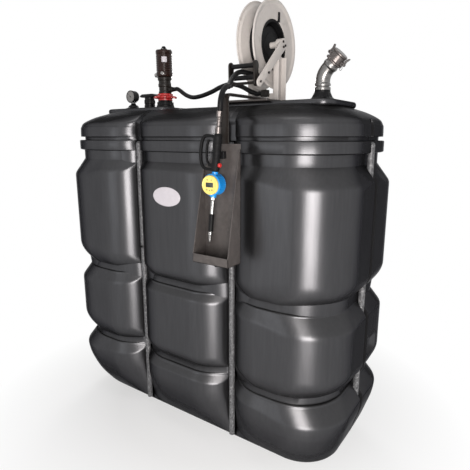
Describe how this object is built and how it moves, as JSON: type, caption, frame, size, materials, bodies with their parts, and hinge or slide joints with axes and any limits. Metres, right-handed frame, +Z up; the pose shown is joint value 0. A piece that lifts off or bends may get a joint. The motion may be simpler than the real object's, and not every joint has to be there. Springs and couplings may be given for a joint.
{
  "type": "oil storage tank",
  "caption": "Moulded plastic oil storage tank in rounded tiers with a domed roof, a drum pump, a spring hose reel, a metering gun over a drip tray, a filler elbow and a level gauge.",
  "frame": {"origin": "centre of the tank's underside, on the floor", "axes": "+X to the right along the long front, +Y towards the back, +Z up; the gun and drip tray hang on the -Y side"},
  "size_m": [1.63, 0.873, 2.051],
  "materials": {
    "tank_plastic": "satin moulded grey",
    "zinc": "galvanised",
    "black_plastic": "matt black",
    "red_plastic": "moulded red",
    "motor_paint": "dark brown paint",
    "polished_metal": "polished",
    "dial_white": "plain white",
    "tray_paint": "dark grey paint",
    "reel_paint": "off-white paint",
    "hose_rubber": "black rubber",
    "meter_blue": "moulded blue",
    "meter_yellow": "moulded yellow"
  },
  "bodies": {
    "tank": {"air_inlet": "polished_metal", "air_motor": "motor_paint", "delivery_hose": "hose_rubber", "drip_tray": "tray_paint", "dust_cap": "polished_metal", "filler_bung": "black_plastic", "filler_elbow": "polished_metal", "filler_ring": "polished_metal", "gauge_base": "black_plastic", "gauge_case": "black_plastic", "gauge_dial": "dial_white", "guide_arm": "reel_paint", "guide_frame": "black_plastic", "gun_body": "black_plastic", "gun_button": "red_plastic", "gun_rest": "black_plastic", "gun_swivel": "polished_metal", "meter_body": "meter_blue", "meter_cover": "meter_yellow", "motor_muffler": "black_plastic", "pump_barrel": "black_plastic", "pump_bung": "black_plastic", "pump_nut": "red_plastic", "pump_outlet": "black_plastic", "reel_frame": "reel_paint", "reel_inlet": "black_plastic", "reel_plate": "tray_paint", "spring_case": "black_plastic", "suction_tube": "zinc", "supply_hose": "hose_rubber", "tank_roof": "tank_plastic", "tank_shell": "tank_plastic", "tray_arm": "tray_paint", "tray_drain": "black_plastic", "tube_back_left": "zinc", "tube_back_right": "zinc", "tube_front_left": "zinc", "tube_front_right": "zinc", "tube_left_end": "zinc", "tube_right_end": "zinc", "vent_bar": "black_plastic", "vent_stem": "black_plastic", "wand": "polished_metal", "wand_sleeve": "hose_rubber", "wand_tip": "polished_metal"},
    "reel": {"reel_drum": "reel_paint", "wound_hose": "hose_rubber"},
    "upper_roller": {"roller_upper": "black_plastic"},
    "lower_roller": {"roller_lower": "black_plastic"},
    "trigger_lever": {"trigger": "black_plastic"},
    "upper_cam": {"cam_lever_upper": "polished_metal"},
    "lower_cam": {"cam_lever_lower": "polished_metal"}
  },
  "joints": [
    {"name": "reel_spin", "type": "hinge", "parent": "tank", "child": "reel", "pos_m": [0.255, 0.05, 1.858], "axis": [1, 0, 0], "continuous": true},
    {"name": "upper_roller_spin", "type": "hinge", "parent": "tank", "child": "upper_roller", "pos_m": [0.2585, -0.155, 1.746], "axis": [1, 0, 0], "continuous": true},
    {"name": "lower_roller_spin", "type": "hinge", "parent": "tank", "child": "lower_roller", "pos_m": [0.2585, -0.155, 1.698], "axis": [1, 0, 0], "continuous": true},
    {"name": "trigger_squeeze", "type": "hinge", "parent": "tank", "child": "trigger_lever", "pos_m": [0.31391, -0.46284, 1.34433], "axis": [0, 0.998, -0.0639], "range_deg": [0, 11], "stiffness_Nm_per_rad": 0.8, "springref_deg": -5.73},
    {"name": "upper_cam_open", "type": "hinge", "parent": "tank", "child": "upper_cam", "pos_m": [0.58785, 0, 1.79302], "axis": [0, -1, 0], "range_deg": [0, 100]},
    {"name": "lower_cam_open", "type": "hinge", "parent": "tank", "child": "lower_cam", "pos_m": [0.64512, 0, 1.73574], "axis": [0, 1, 0], "range_deg": [0, 100]}
  ]
}
